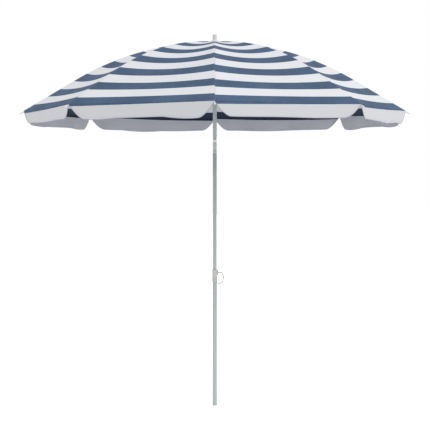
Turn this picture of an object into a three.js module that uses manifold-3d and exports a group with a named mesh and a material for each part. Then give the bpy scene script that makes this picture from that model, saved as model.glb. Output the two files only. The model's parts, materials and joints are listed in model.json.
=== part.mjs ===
// Beach umbrella with a two-piece steel mast, a tilt joint, eight folding ribs with struts and
// a striped cloth canopy with a hanging valance. Millimetres, +Z up, the foot at the origin.
import * as THREE from 'three';
import { mergeVertices } from 'three/addons/utils/BufferGeometryUtils.js';
import Module from 'manifold-3d';

const wasm = await Module();
wasm.setup();

// ---- driving dimensions ------------------------------------------------------------------
const GAP = 0.3; // clearance between touching pieces
const POLE_R = 11; // lower pole, 22 mm tube
const MAST_R = 9.5; // middle and upper mast, 19 mm tube
const WALL = 1.2; // wall of every tube
const POLE_TOP = 616;
const MID_BOTTOM = 300;
const MID_TOP = 1253;
const LOW_CRIMP = 1205.7;
const HIGH_CRIMP = 1218.7;
const TILT_Z = 1267; // height of the tilt rivet
const UPPER_BOTTOM = 1281;
const COLLAR_BOTTOM = 593;
const COLLAR_TOP = 649;
const PIN_Z = 635; // height of the locking pin
const PIN_R = 1.9;
const PIN_END = 25;
const LUG_END = 17.5; // reach of the lug that guides the locking pin
const RING_BOSS = 22.6; // near end of the boss of the finger ring
const RING_R = 3; // stock of the finger ring
const HOLE_STEP = 50; // between the height holes of the middle mast

const RIBS = 8;
const FRONT = -90; // azimuth of the first rib, in degrees
const CROWN_Z = 1714; // height of the rib pivots
const PIVOT_RHO = 20; // radius of the rib pivots and of the strut pivots on the runner
const BRACKET_RHO = 456; // where a strut meets its rib
const BRACKET_Z = 1636;
const RUNNER_Z = 2 * BRACKET_Z - CROWN_Z; // strut and rib make an isosceles triangle
const ROD_R = 2.25; // rib
const STRUT_R = 2;
const EYE_R = 3.5; // flattened eye at the end of a rib or strut
const EYE_WIDTH = 4;
const WIRE_R = 0.8; // ring wire through the eyes

const APEX_Z = 1734; // top of the cloth
const ARCH_R = 1297; // radius of the arched part of the canopy, along a rib
const RIM_SLOPE = THREE.MathUtils.degToRad(30.6);
const RIM_RHO = 910; // corner of the cloth
const TIP_RHO = 928; // end of the rib cap
const CLOTH = 1; // thickness
const CLOTH_HOLE = 7; // radius of the hole at the apex
const SAG = 148; // sets how far the middle of a gore hangs below the line from rib to rib
const HEM_SAG = 4; // how far it hangs at the hem
const RIB_BELOW = CLOTH + ROD_R + 0.95; // rib axis below the top of the cloth
const VALANCE = 62;
const VALANCE_IN = 4; // the valance leans in by this much
const VALANCE_CUT = 76; // how far the diagonal end of a valance runs along the hem

// ---- materials ---------------------------------------------------------------------------
const material = (color, roughness, metalness) =>
  new THREE.MeshStandardMaterial({ color, roughness, metalness });
const polePaint = material('#c3cbc9', 0.4, 0.2);
const steel = material('#b9bdbf', 0.35, 0.9);
const ribPaint = material('#c9cdcc', 0.4, 0.3);
const greyPlastic = material('#cfcdc9', 0.5, 0);
const whitePlastic = material('#f1f1ee', 0.4, 0);
const cloth = material('#dfe3ea', 0.9, 0);

// ---- helpers -----------------------------------------------------------------------------
const rad = THREE.MathUtils.degToRad;
const point = (x, y, z) => new THREE.Vector3(x, y, z);

/** The geometry with merged vertices and its faces turned outward. */
function closed(geometry) {
  const bare = geometry.clone();
  bare.deleteAttribute('normal');
  bare.deleteAttribute('uv');
  const merged = mergeVertices(bare);
  const p = merged.attributes.position;
  const index = merged.index.array;
  const [a, b, c] = [point(), point(), point()];
  const faces = [];
  let volume = 0;
  for (let i = 0; i < index.length; i += 3) {
    const [i0, i1, i2] = index.slice(i, i + 3);
    if (i0 === i1 || i1 === i2 || i2 === i0) continue;
    faces.push(i0, i1, i2);
    a.fromBufferAttribute(p, i0);
    b.fromBufferAttribute(p, i1);
    c.fromBufferAttribute(p, i2);
    volume += a.dot(b.cross(c));
  }
  if (volume < 0) faces.reverse();
  merged.setIndex(faces);
  return merged;
}

function toSolid(geometry) {
  const g = closed(geometry);
  return new wasm.Manifold(new wasm.Mesh({
    numProp: 3,
    vertProperties: new Float32Array(g.attributes.position.array),
    triVerts: new Uint32Array(g.index.array),
  }));
}

function toGeometry(solid) {
  const mesh = solid.getMesh();
  const g = new THREE.BufferGeometry();
  g.setAttribute('position', new THREE.BufferAttribute(mesh.vertProperties, 3));
  g.setIndex(new THREE.BufferAttribute(mesh.triVerts, 1));
  return g;
}

/** A solid of revolution about Z from [radius, z] corners in order round its outline. */
function turned(corners, segments = 20) {
  const first = corners[0];
  const onAxis = first[0] === 0;
  const outline = onAxis ? corners : [...corners, first];
  const g = new THREE.LatheGeometry(outline.map(([r, z]) => new THREE.Vector2(r, z)), segments);
  return g.rotateX(Math.PI / 2);
}

const turnedSolid = (corners, segments) => toSolid(turned(corners, segments));

function box(x0, x1, y0, y1, z0, z1) {
  const g = new THREE.BoxGeometry(x1 - x0, y1 - y0, z1 - z0);
  return toSolid(g.translate((x0 + x1) / 2, (y0 + y1) / 2, (z0 + z1) / 2));
}

/** A round bar across, along Y, centred on [x, z]. */
function barY(x, z, radius, width, segments = 12) {
  const g = new THREE.CylinderGeometry(radius, radius, width, segments);
  return toSolid(g.translate(x, 0, z));
}

/** A round bar along X from x0 to x1 at height z. */
function barX(x0, x1, z, radius, segments = 12) {
  const g = new THREE.CylinderGeometry(radius, radius, x1 - x0, segments);
  return toSolid(g.rotateZ(Math.PI / 2).translate((x0 + x1) / 2, 0, z));
}

/** A plate across, along Y, from its [x, z] corners. */
function plate(corners, width) {
  const side = new THREE.Shape(corners.map(([x, z]) => new THREE.Vector2(x, z)));
  const g = new THREE.ExtrudeGeometry(side, { depth: width, bevelEnabled: false });
  return toSolid(g.rotateX(Math.PI / 2).translate(0, width / 2, 0));
}

/** A round rod swept through points of the XZ plane. */
function rod(points, radius, steps) {
  const section = new THREE.Shape().absarc(0, 0, radius, 0, 2 * Math.PI);
  const path = new THREE.CatmullRomCurve3(points.map(([x, z]) => point(x, 0, z)));
  return toSolid(new THREE.ExtrudeGeometry(section, {
    steps, curveSegments: 4, bevelEnabled: false, extrudePath: path,
  }));
}

const union = (...solids) => solids.reduce((sum, s) => sum.add(s));
const less = (solid, ...cuts) => cuts.reduce((left, s) => left.subtract(s), solid);

// ---- the line of a rib and of the cloth over it ------------------------------------------
const ARCH_LENGTH = ARCH_R * RIM_SLOPE;
const STRAIGHT_RHO = ARCH_R * Math.sin(RIM_SLOPE);
const RIM_LENGTH = ARCH_LENGTH + (RIM_RHO - STRAIGHT_RHO) / Math.cos(RIM_SLOPE);

/** Radius, height and slope at a length along the canopy from its apex, below its top face. */
function ribLine(length, below = 0) {
  const slope = Math.min(length, ARCH_LENGTH) / ARCH_R;
  const rest = Math.max(length - ARCH_LENGTH, 0);
  const r = ARCH_R - below;
  return {
    rho: r * Math.sin(slope) + rest * Math.cos(slope),
    z: APEX_Z - ARCH_R + r * Math.cos(slope) - rest * Math.sin(slope),
    slope,
  };
}

/** Length along the canopy at which the line `below` its top face reaches a radius. */
function lengthAt(rho, below = 0) {
  const bend = (ARCH_R - below) * Math.sin(RIM_SLOPE);
  if (rho < bend) return ARCH_R * Math.asin(rho / (ARCH_R - below));
  return ARCH_LENGTH + (rho - bend) / Math.cos(RIM_SLOPE);
}

// ---- mast --------------------------------------------------------------------------------
function tube(radius, z0, z1) {
  return turned([[radius - WALL, z0], [radius, z0], [radius, z1], [radius - WALL, z1]]);
}

function footPlug() {
  const r = POLE_R - WALL - GAP;
  return turned([[0, 0], [POLE_R - 0.5, 0], [POLE_R, 0.5], [POLE_R, 3], [r, 3], [r, 25], [0, 25]]);
}

const lowerPole = () => tube(POLE_R, 3 + GAP, POLE_TOP);

function clampCollar() {
  const low = POLE_R + GAP;
  const high = MAST_R + GAP;
  const rim = 13.2;
  const body = turnedSolid([
    [low, COLLAR_BOTTOM], [rim, COLLAR_BOTTOM], [rim, COLLAR_BOTTOM + 4], [12.7, COLLAR_BOTTOM + 5],
    [12.7, COLLAR_TOP - 6], [rim, COLLAR_TOP - 5], [rim, COLLAR_TOP - 1], [12.4, COLLAR_TOP],
    [high, COLLAR_TOP],
    [high, POLE_TOP + GAP], [low, POLE_TOP + GAP],
  ]);
  const slanted = plate([
    [0, PIN_Z + 13], [12.5, PIN_Z + 13], [LUG_END, PIN_Z + 5], [LUG_END, PIN_Z - 5],
    [12.5, PIN_Z - 13], [0, PIN_Z - 13],
  ], 12);
  const lug = less(slanted, turnedSolid([[0, 600], [POLE_R, 600], [POLE_R, 660], [0, 660]]));
  return toGeometry(less(union(body, lug), barX(5, 30, PIN_Z, PIN_R + GAP)));
}

/** Steel shank of the locking pin. */
const lockPin = () => toGeometry(barX(MAST_R + 0.4, PIN_END, PIN_Z, PIN_R));

/** Finger ring on the end of the locking pin: a boss over the shank and an open loop. */
function pullRing() {
  const route = [
    [RING_BOSS + 2.4, PIN_Z], [33, PIN_Z - 2], [39, PIN_Z - 11], [41, PIN_Z - 24], [39.5, PIN_Z - 37],
    [34, PIN_Z - 47], [25, PIN_Z - 52.5], [18, PIN_Z - 52.5],
    [POLE_R + RING_R + 0.8, PIN_Z - 50],
  ];
  const boss = barX(RING_BOSS, RING_BOSS + 5, PIN_Z, 3.6);
  const bore = barX(0, PIN_END + GAP, PIN_Z, PIN_R + GAP);
  return toGeometry(less(union(rod(route, RING_R, 24), boss), bore));
}

/** Outline of a shallow crimp round the middle mast. */
const crimp = (z) => [
  [MAST_R, z - 3], [MAST_R - 0.5, z - 1.7], [MAST_R - 0.5, z + 1.7], [MAST_R, z + 3],
];

/** Middle mast: crimped onto the fork at its top, with a row of height holes. */
function midMast() {
  const inner = MAST_R - WALL;
  const body = turnedSolid([
    [inner, MID_BOTTOM], [MAST_R, MID_BOTTOM], ...crimp(LOW_CRIMP), ...crimp(HIGH_CRIMP),
    [MAST_R, MID_TOP], [inner, MID_TOP],
  ]);
  const holes = [];
  for (let z = PIN_Z; z > MID_BOTTOM + HOLE_STEP; z -= HOLE_STEP) holes.push(barX(0, 20, z, 2.9, 10));
  return toGeometry(less(body, ...holes));
}

// ---- tilt joint --------------------------------------------------------------------------
const NECK_R = 8.75;
const TONGUE = 3; // half the thickness of the tongue
const RIVET_R = 2.2;
const SPIGOT_R = MAST_R - WALL - GAP;

function tiltFork() {
  const neck = turnedSolid([
    [0, 1225], [SPIGOT_R, 1225], [SPIGOT_R, MID_TOP + GAP], [NECK_R, MID_TOP + GAP],
    [NECK_R, 1290], [0, 1290],
  ]);
  const cheeks = union(barY(0, TILT_Z, 8.6, 14.8, 20), box(-8.75, 8.75, -7.4, 7.4, 1220, TILT_Z));
  const slot = box(-12, 12, -TONGUE - GAP, TONGUE + GAP, TILT_Z - 9.3, 1300);
  const belowSlot = box(-12, 12, -12, 12, 1220, MID_TOP + 1.5);
  const shape = union(cheeks, belowSlot).intersect(neck);
  return toGeometry(less(shape, slot, barY(0, TILT_Z, RIVET_R + GAP, 30)));
}

function tiltTongue() {
  const plug = turnedSolid([
    [0, 1240], [NECK_R, 1240], [NECK_R, UPPER_BOTTOM - GAP], [SPIGOT_R, UPPER_BOTTOM - GAP],
    [SPIGOT_R, 1320], [0, 1320],
  ]);
  const tongue = union(
    barY(0, TILT_Z, 8.5, 2 * TONGUE, 20), box(-8.5, 8.5, -TONGUE, TONGUE, TILT_Z, 1300),
  );
  const shape = union(tongue, box(-12, 12, -12, 12, TILT_Z + 10.3, 1330)).intersect(plug);
  return toGeometry(less(shape, barY(0, TILT_Z, RIVET_R + GAP, 30)));
}

function tiltRivet() {
  const half = 9;
  const head = 2.8;
  const g = turned([
    [0, -half], [head - 0.6, -half], [head, -half + 0.6], [head, -7.7], [RIVET_R, -7.7],
    [RIVET_R, 7.7], [head, 7.7], [head, half - 0.6], [head - 0.6, half], [0, half],
  ], 16);
  return g.rotateX(Math.PI / 2).translate(0, 0, TILT_Z);
}

const upperMast = () => tube(MAST_R, UPPER_BOTTOM, 1722);

// ---- crown and runner --------------------------------------------------------------------
/** Radial slots for eight eyes, from the pivot ring outward, between two heights. */
function eyeSlots(z0, z1) {
  const slot = box(15.8, 40, -EYE_WIDTH / 2 - 0.5, EYE_WIDTH / 2 + 0.5, z0, z1);
  const slots = [];
  for (let i = 0; i < RIBS; i += 1) slots.push(slot.rotate([0, 0, (360 / RIBS) * i]));
  return slots;
}

function ringWire(z) {
  const g = new THREE.TorusGeometry(PIVOT_RHO, WIRE_R, 5, 24);
  return g.rotateZ(Math.PI / 24).translate(0, 0, z);
}

/** Notched hub on top of the mast, with a stud for the finial. */
function crownHub() {
  const slit = WIRE_R + 0.4;
  const body = turnedSolid([
    [MAST_R + GAP, 1702], [24.5, 1702], [26, 1703.5], [26, CROWN_Z - slit],
    [PIVOT_RHO - slit, CROWN_Z - slit], [PIVOT_RHO - slit, CROWN_Z + slit],
    [26, CROWN_Z + slit], [26, 1729], [24, 1731], [4, 1731], [4, 1752], [0, 1752],
    [0, 1722 + GAP], [MAST_R + GAP, 1722 + GAP],
  ], 24);
  return toGeometry(less(body, ...eyeSlots(1700, CROWN_Z + EYE_R + 1.6)));
}

function finial() {
  return turned([
    [4 + GAP, 1734.5], [20, 1734.5], [20.5, 1736], [19, 1738], [14, 1741], [11, 1744],
    [9.8, 1748], [9.8, 1763], [8.6, 1767], [5.5, 1769.6], [0, 1770.5], [0, 1753],
    [4 + GAP, 1753],
  ]);
}

/** Sliding runner with a notched flange for the struts and a window for the thumb catch. */
function runner() {
  const bore = MAST_R + 0.4;
  const slit = WIRE_R + 0.4;
  const sleeve = 13.5;
  const base = RUNNER_Z - 62;
  const body = turnedSolid([
    [bore, base], [sleeve, base], [sleeve, RUNNER_Z - 14], [15.2, RUNNER_Z - 11],
    [26, RUNNER_Z - 9], [26, RUNNER_Z - slit], [PIVOT_RHO - slit, RUNNER_Z - slit],
    [PIVOT_RHO - slit, RUNNER_Z + slit], [26, RUNNER_Z + slit], [26, RUNNER_Z + 7],
    [24.5, RUNNER_Z + 9], [bore, RUNNER_Z + 9],
  ], 24);
  const lugs = less(box(11, 18.8, -LUG_Y, LUG_Y, 1515, 1531), box(0, 30, -SLOT_Y, SLOT_Y, 1500, 1545));
  const shape = union(less(body, ...eyeSlots(RUNNER_Z - 20, 1580)), turnCatch(lugs));
  const cuts = less(box(5, 30, -SLOT_Y, SLOT_Y, 1531, 1544), box(0, 9, -6, 6, 1500, 1560));
  return toGeometry(less(shape, turnCatch(cuts), turnCatch(barY(17, CATCH_Z, 1.5, 20))));
}

const CATCH_Z = 1523; // pivot of the thumb catch
const CATCH_AZIMUTH = 22.5;
const CATCH_Y = 3; // half the width of the catch
const SLOT_Y = CATCH_Y + GAP;
const LUG_Y = 4.3; // half the width over the lugs of its pivot
const turnCatch = (solid) => solid.rotate([0, 0, CATCH_AZIMUTH]);

/** Thumb catch: a rocker whose nose passes through the window of the runner. */
function runnerLatch() {
  const rocker = plate([
    [15.2, 1517], [17.4, 1508], [20.5, 1502], [22, 1504], [20.3, 1520], [20.3, 1541],
    [10.2, 1541], [10.2, 1538], [16, 1534.5],
  ], 2 * CATCH_Y);
  return toGeometry(turnCatch(less(rocker, barY(17, CATCH_Z, 1.2 + GAP, 20))));
}

const latchPivot = () => toGeometry(turnCatch(barY(17, CATCH_Z, 1.2, 2 * LUG_Y - 0.2, 10)));

// ---- ribs and struts, each drawn over the +X axis ----------------------------------------
function eye(x, z) {
  return { disc: barY(x, z, EYE_R, EYE_WIDTH, 10), hole: barY(x, z, WIRE_R + 0.6, 10, 8) };
}

function rib() {
  const points = [[PIVOT_RHO + 2.4, CROWN_Z + 0.3], [80, 1720.3], [140, 1720.2]];
  const start = lengthAt(200, RIB_BELOW);
  const end = lengthAt(TIP_RHO - 6, RIB_BELOW);
  const stations = 8;
  for (let i = 0; i <= stations; i += 1) {
    const at = ribLine(start + ((end - start) * i) / stations, RIB_BELOW);
    points.push([at.rho, at.z]);
  }
  const { disc, hole } = eye(PIVOT_RHO, CROWN_Z);
  return toGeometry(less(union(rod(points, ROD_R, 13), disc), hole));
}

/** Cap pushed over the end of a rib. */
function ribTip() {
  const bore = ROD_R + GAP;
  const r = 3.1;
  const g = turned([
    [bore, -16], [r, -16], [r, -2], [2.2, 0], [0, 0.4], [0, -5], [bore, -5],
  ], 10);
  const end = ribLine(lengthAt(TIP_RHO, RIB_BELOW), RIB_BELOW);
  return g.rotateY(Math.PI / 2 + RIM_SLOPE).translate(end.rho, 0, end.z);
}

/** Bracket pressed on the rib, with the cross pin that carries the strut. */
function ribBracket() {
  const at = ribLine(lengthAt(BRACKET_RHO, RIB_BELOW), RIB_BELOW);
  const drop = (at.z - BRACKET_Z) * Math.cos(at.slope);
  const inner = 2.6;
  const outer = 3.8;
  const cheeks = less(box(-6, 6, -outer, outer, -drop - 3.5, 1), box(-9, 9, -inner, inner, -drop - 9, 9));
  const web = box(-6, 6, -3, 3, -ROD_R - 2, -ROD_R - 0.7);
  const pin = barY(0, -drop, WIRE_R + 0.2, 7, 10);
  const slope = THREE.MathUtils.radToDeg(at.slope);
  const whole = union(cheeks, web, pin).rotate([0, slope, 0]);
  const shift = drop * Math.sin(at.slope);
  return toGeometry(whole.translate([BRACKET_RHO + shift, 0, BRACKET_Z + drop * Math.cos(at.slope)]));
}

function strut() {
  const inner = eye(PIVOT_RHO, RUNNER_Z);
  const outer = eye(BRACKET_RHO, BRACKET_Z);
  const way = point(BRACKET_RHO - PIVOT_RHO, 0, BRACKET_Z - RUNNER_Z).normalize();
  const ends = [2.4, -2.4].map((inset, i) => (i
    ? [BRACKET_RHO + way.x * inset, BRACKET_Z + way.z * inset]
    : [PIVOT_RHO + way.x * inset, RUNNER_Z + way.z * inset]));
  const shape = union(rod(ends, STRUT_R, 1), inner.disc, outer.disc);
  return toGeometry(less(shape, inner.hole, outer.hole));
}

// ---- cloth -------------------------------------------------------------------------------
const HALF_GORE = Math.PI / RIBS;

/** How far the middle of a gore hangs below the line from rib to rib. */
function sagAt(length) {
  const t = Math.min(length / RIM_LENGTH, 1);
  return SAG * (t * (1 - t)) ** 1.5 + HEM_SAG * t * t;
}

/** Top of the cloth: across runs from -1 to 1, from one gore's middle over the rib to the next. */
function clothTop(length, across) {
  const { rho, z } = ribLine(length);
  const share = Math.abs(across) / 2;
  const side = Math.sign(across);
  const x = rho * (1 - share + share * Math.cos(2 * HALF_GORE));
  const y = rho * share * Math.sin(2 * HALF_GORE) * side;
  return point(x, y, z - sagAt(length) * (1 - (1 - Math.abs(across)) ** 2));
}

function clothAt(length, across, depth) {
  const e = 0.01;
  const top = clothTop(length, across);
  const along = clothTop(length + 1, across).sub(clothTop(length - 1, across));
  const over = clothTop(length, across + e).sub(clothTop(length, across - e));
  return top.addScaledVector(along.cross(over).normalize(), -depth);
}

/** The largest `across` that leaves half a gap to the neighbouring panel. */
const edgeAt = (length) => 1 - 0.3 / (ribLine(length).rho * Math.sin(HALF_GORE));

/**
 * A closed sheet: a subdivided box whose three directions are bent by one rule. The cells of
 * its two skins are split along the same diagonals, so that the skins stay one thickness apart.
 */
function sheet(columns, rows, bend) {
  const g = new THREE.BoxGeometry(1, 1, 1, columns, rows, 1);
  const p = g.attributes.position;
  for (let i = 0; i < p.count; i += 1) {
    const at = bend(p.getX(i) + 0.5, p.getY(i) + 0.5, p.getZ(i) + 0.5);
    p.setXYZ(i, at.x, at.y, at.z);
  }
  const bottom = g.groups[5];
  for (let i = bottom.start; i < bottom.start + bottom.count; i += 6) {
    const [a, b, d, , c] = g.index.array.slice(i, i + 6);
    g.index.array.set([a, b, c, a, c, d], i);
  }
  return toSolid(g);
}

/** One half of a gore's valance, from the diagonal end beside the rib to the gore's middle. */
function halfValance(side) {
  const halfHem = RIM_RHO * Math.sin(HALF_GORE);
  return sheet(3, 1, (u, w, t) => {
    const start = (4 + VALANCE_CUT * w) / halfHem;
    const across = side * (start + (edgeAt(RIM_LENGTH) - start) * u);
    const hem = clothTop(RIM_LENGTH - 0.2, across);
    const inward = point(-Math.cos(HALF_GORE), -side * Math.sin(HALF_GORE), 0);
    hem.addScaledVector(inward, VALANCE_IN * w + CLOTH * t);
    return hem.setZ(hem.z - 0.3 - VALANCE * w);
  });
}

/** Cloth over one rib, out to the middle of the gore on each side, with its valance halves. */
function canopyPanel() {
  const main = sheet(6, 11, (u, v, t) => {
    const length = CLOTH_HOLE + (RIM_LENGTH - CLOTH_HOLE) * v;
    return clothAt(length, (2 * u - 1) * edgeAt(length), CLOTH * t);
  });
  return toGeometry(union(main, halfValance(1), halfValance(-1)));
}

// ---- the whole umbrella ------------------------------------------------------------------
const umbrella = new THREE.Group();

function add(name, geometry, look, azimuth = 0) {
  const mesh = new THREE.Mesh(closed(geometry), look);
  mesh.name = name;
  mesh.rotation.z = rad(azimuth);
  umbrella.add(mesh);
}

add('foot_plug', footPlug(), greyPlastic);
add('lower_pole', lowerPole(), polePaint);
add('clamp_collar', clampCollar(), greyPlastic);
add('lock_pin', lockPin(), steel);
add('pull_ring', pullRing(), greyPlastic);
add('mid_mast', midMast(), polePaint);
add('tilt_fork', tiltFork(), steel);
add('tilt_rivet', tiltRivet(), steel);
add('tilt_tongue', tiltTongue(), steel);
add('upper_mast', upperMast(), polePaint);
add('crown_hub', crownHub(), whitePlastic);
add('crown_wire', ringWire(CROWN_Z), steel);
add('finial', finial(), whitePlastic);
add('runner', runner(), whitePlastic);
add('runner_wire', ringWire(RUNNER_Z), steel);
add('latch_pivot', latchPivot(), steel);
add('runner_latch', runnerLatch(), greyPlastic);

const perRib = [
  ['rib', rib(), ribPaint],
  ['rib_tip', ribTip(), whitePlastic],
  ['rib_bracket', ribBracket(), steel],
  ['strut', strut(), ribPaint],
  ['canopy_panel', canopyPanel(), cloth],
];
for (let i = 0; i < RIBS; i += 1) {
  for (const [name, geometry, look] of perRib) {
    add(`${name}_${i + 1}`, geometry, look, FRONT + (360 / RIBS) * i);
  }
}

export default umbrella;
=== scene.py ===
"""Beach umbrella: striped cloth canopy with a hanging valance, folding ribs, tilting steel mast."""
import json
import math

import bmesh
import bpy
from mathutils import Matrix, Vector


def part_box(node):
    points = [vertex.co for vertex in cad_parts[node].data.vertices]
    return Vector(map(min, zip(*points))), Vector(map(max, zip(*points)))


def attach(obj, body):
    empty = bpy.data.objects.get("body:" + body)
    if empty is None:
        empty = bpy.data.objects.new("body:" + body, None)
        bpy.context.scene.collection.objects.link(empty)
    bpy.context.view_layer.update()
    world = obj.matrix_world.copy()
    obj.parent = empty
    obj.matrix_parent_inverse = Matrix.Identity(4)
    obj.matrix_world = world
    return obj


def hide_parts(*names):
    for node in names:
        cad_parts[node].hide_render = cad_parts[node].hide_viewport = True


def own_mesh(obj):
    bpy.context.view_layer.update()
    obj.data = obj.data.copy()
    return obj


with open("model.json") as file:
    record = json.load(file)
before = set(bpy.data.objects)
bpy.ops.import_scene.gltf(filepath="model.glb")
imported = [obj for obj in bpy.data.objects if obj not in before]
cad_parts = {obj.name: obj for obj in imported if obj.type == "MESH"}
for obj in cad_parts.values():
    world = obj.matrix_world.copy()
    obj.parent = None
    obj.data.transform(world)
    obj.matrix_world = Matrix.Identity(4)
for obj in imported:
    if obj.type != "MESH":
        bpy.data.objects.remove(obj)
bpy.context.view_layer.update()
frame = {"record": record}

JOINTS = {joint["name"]: joint for joint in frame["record"]["behaviour"]["joints"]}
RIBS = sum(name.startswith("rib_hinge") for name in JOINTS)
HALF_GORE = math.pi / RIBS
FRONT = math.radians(-90)  # azimuth of the first rib


def low(node):
    return Vector(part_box(node)[0])


def high(node):
    return Vector(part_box(node)[1])


# ---- sizes, in metres ----------------------------------------------------------------------
MM = 0.001
POLE_R = high("lower_pole").x
MAST_R = high("mid_mast").x
WALL = 1.2 * MM
SLOPE = math.radians(30.6)  # of the straight outer part of a rib
ARCH_R = 1.297  # radius of the arched part
APEX = high("canopy_panel_3").z
RIM = high("canopy_panel_3").x  # radius of a cloth corner
PIVOT = Vector(JOINTS["rib_hinge_3"]["pos_m"])  # third rib lies along +X
BRACKET = Vector(JOINTS["strut_hinge_3"]["pos_m"])
RUNNER_Z = 2 * BRACKET.z - PIVOT.z
TILT_Z = JOINTS["tilt_hinge"]["pos_m"][2]
CATCH = Vector(JOINTS["latch_hinge"]["pos_m"])  # pivot of the thumb catch
ROD_R = 2.25 * MM
STRUT_R = 2 * MM
ROD_BELOW = 4.2 * MM  # rib axis below the top of the cloth
TIP = high("rib_tip_3").x - 1.1 * MM

ARCH_LENGTH = ARCH_R * SLOPE
BEND_RHO = ARCH_R * math.sin(SLOPE)
RIM_LENGTH = ARCH_LENGTH + (RIM - BEND_RHO) / math.cos(SLOPE)
HALF_HEM = RIM * math.sin(HALF_GORE)

SAG = 148 * MM  # sets how far a gore hangs below the line from rib to rib
HEM_SAG = 4 * MM  # how far it hangs at the hem
SLACK = 3 * MM  # by how much the hem sag differs from the front gores to the back ones
CLOTH = 0.7 * MM
HOLE = 7 * MM  # at the apex
VALANCE = 62 * MM
VALANCE_IN = 4 * MM
VALANCE_END = 78 * MM  # length of its slanted end
BINDING_R = 1.1 * MM
SEWING = 0.3 * MM  # how far the valance is sewn in from the hem

BAND = 144.5 * MM  # one blue and one white stripe, along a rib
BLUE_SHARE = 0.49
HEM_BLUE = 6 * MM  # how far the last blue stripe runs down the valance
BLUE_BANDS = 7
SKEW = 0.017  # slant of the stripes against the hem of a gore


# ---- shader writing ------------------------------------------------------------------------
class Value:
    """A number socket; arithmetic on it adds Math nodes."""

    def __init__(self, look, socket):
        self.look = look
        self.socket = socket

    def math(self, operation, *others):
        return self.look.math(operation, self, *others)

    def __add__(self, other):
        return self.math("ADD", other)

    def __sub__(self, other):
        return self.math("SUBTRACT", other)

    def __mul__(self, other):
        return self.math("MULTIPLY", other)

    def __truediv__(self, other):
        return self.math("DIVIDE", other)

    def __radd__(self, other):
        return self.look.math("ADD", other, self)

    def __rsub__(self, other):
        return self.look.math("SUBTRACT", other, self)

    def __rmul__(self, other):
        return self.look.math("MULTIPLY", other, self)

    def __rtruediv__(self, other):
        return self.look.math("DIVIDE", other, self)

    def __abs__(self):
        return self.math("ABSOLUTE")


class Look:
    """A material under construction: a Principled shader and the nodes that feed it."""

    def __init__(self, name, color, roughness, metallic=0.0, **fixed):
        self.material = bpy.data.materials.new(name)
        self.material.use_nodes = True
        self.nodes = self.material.node_tree.nodes
        self.links = self.material.node_tree.links
        self.shader = self.nodes["Principled BSDF"]
        self.set("Base Color", (*color, 1))
        self.set("Roughness", roughness)
        self.set("Metallic", metallic)
        for socket, value in fixed.items():
            self.set(socket.replace("_", " "), value)
        self.material.diffuse_color = (*color, 1)

    def set(self, socket, value):
        self.join(value, self.shader.inputs[socket])

    def join(self, value, socket):
        if isinstance(value, Value):
            value = value.socket
        if isinstance(value, bpy.types.NodeSocket):
            self.links.new(value, socket)
        else:
            socket.default_value = value

    def node(self, kind, settings=None, inputs=None):
        made = self.nodes.new("ShaderNode" + kind)
        for key, value in (settings or {}).items():
            setattr(made, key, value)
        for key, value in (inputs or {}).items():
            self.join(value, made.inputs[key])
        return made

    def math(self, operation, *values):
        made = self.node("Math", {"operation": operation}, dict(enumerate(values)))
        return Value(self, made.outputs[0])

    def object_place(self):
        return self.node("TexCoord").outputs["Object"]

    def uv(self, layer):
        """The two coordinates of a UV layer, as values."""
        parts = self.node("SeparateXYZ", None, {0: self.node("UVMap", {"uv_map": layer}).outputs[0]})
        return Value(self, parts.outputs[0]), Value(self, parts.outputs[1])

    def stretched(self, place, scale):
        """The place with each axis scaled, for a pattern that runs longer one way."""
        return self.node("Mapping", None, {"Vector": place, "Scale": scale}).outputs[0]

    def noise(self, place, scale, detail=3.0, roughness=0.55):
        made = self.node("TexNoise", None, {
            "Vector": place, "Scale": scale, "Detail": detail, "Roughness": roughness})
        return Value(self, made.outputs["Fac"])

    def ramp(self, value, start, end, to_min=0.0, to_max=1.0):
        """The value taken smoothly from one range to another."""
        made = self.node("MapRange", {"interpolation_type": "SMOOTHSTEP"}, {
            "Value": value, "From Min": start, "From Max": end, "To Min": to_min, "To Max": to_max})
        return Value(self, made.outputs[0])

    def mix(self, share, first, second):
        """A colour between two colours."""
        made = self.node("Mix", {"data_type": "RGBA"}, {"Factor": share})
        for key, value in (("A", first), ("B", second)):
            socket = [s for s in made.inputs if s.name == key and s.type == "RGBA"][0]
            self.join(value if not isinstance(value, tuple) else (*value, 1), socket)
        return [s for s in made.outputs if s.type == "RGBA"][0]

    def bump(self, height, distance, strength=1.0):
        self.set("Normal", self.node("Bump", None, {
            "Height": height, "Distance": distance, "Strength": strength}).outputs[0])


def srgb(red, green, blue):
    """A colour as measured on a screen, 0 to 255, as linear light."""
    def linear(value):
        value /= 255
        return value / 12.92 if value < 0.04045 else ((value + 0.055) / 1.055) ** 2.4
    return linear(red), linear(green), linear(blue)


# ---- materials -----------------------------------------------------------------------------
NAVY = (0.056, 0.092, 0.158)
# Painted shade: the two underside colours are the cloth's colours darkened for the light that doesn't
# reach under the canopy.
NAVY_UNDER_PAINTED_SHADE = (0.009, 0.017, 0.038)
WHITE_CLOTH = (0.620, 0.630, 0.660)
# Painted shade: the valance is the same white cloth as the top, darker because it hangs upright.
VALANCE_PAINTED_SHADE = (0.475, 0.480, 0.500)
WHITE_UNDER_PAINTED_SHADE = (0.400, 0.410, 0.455)
THREAD = srgb(150, 148, 165)


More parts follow.
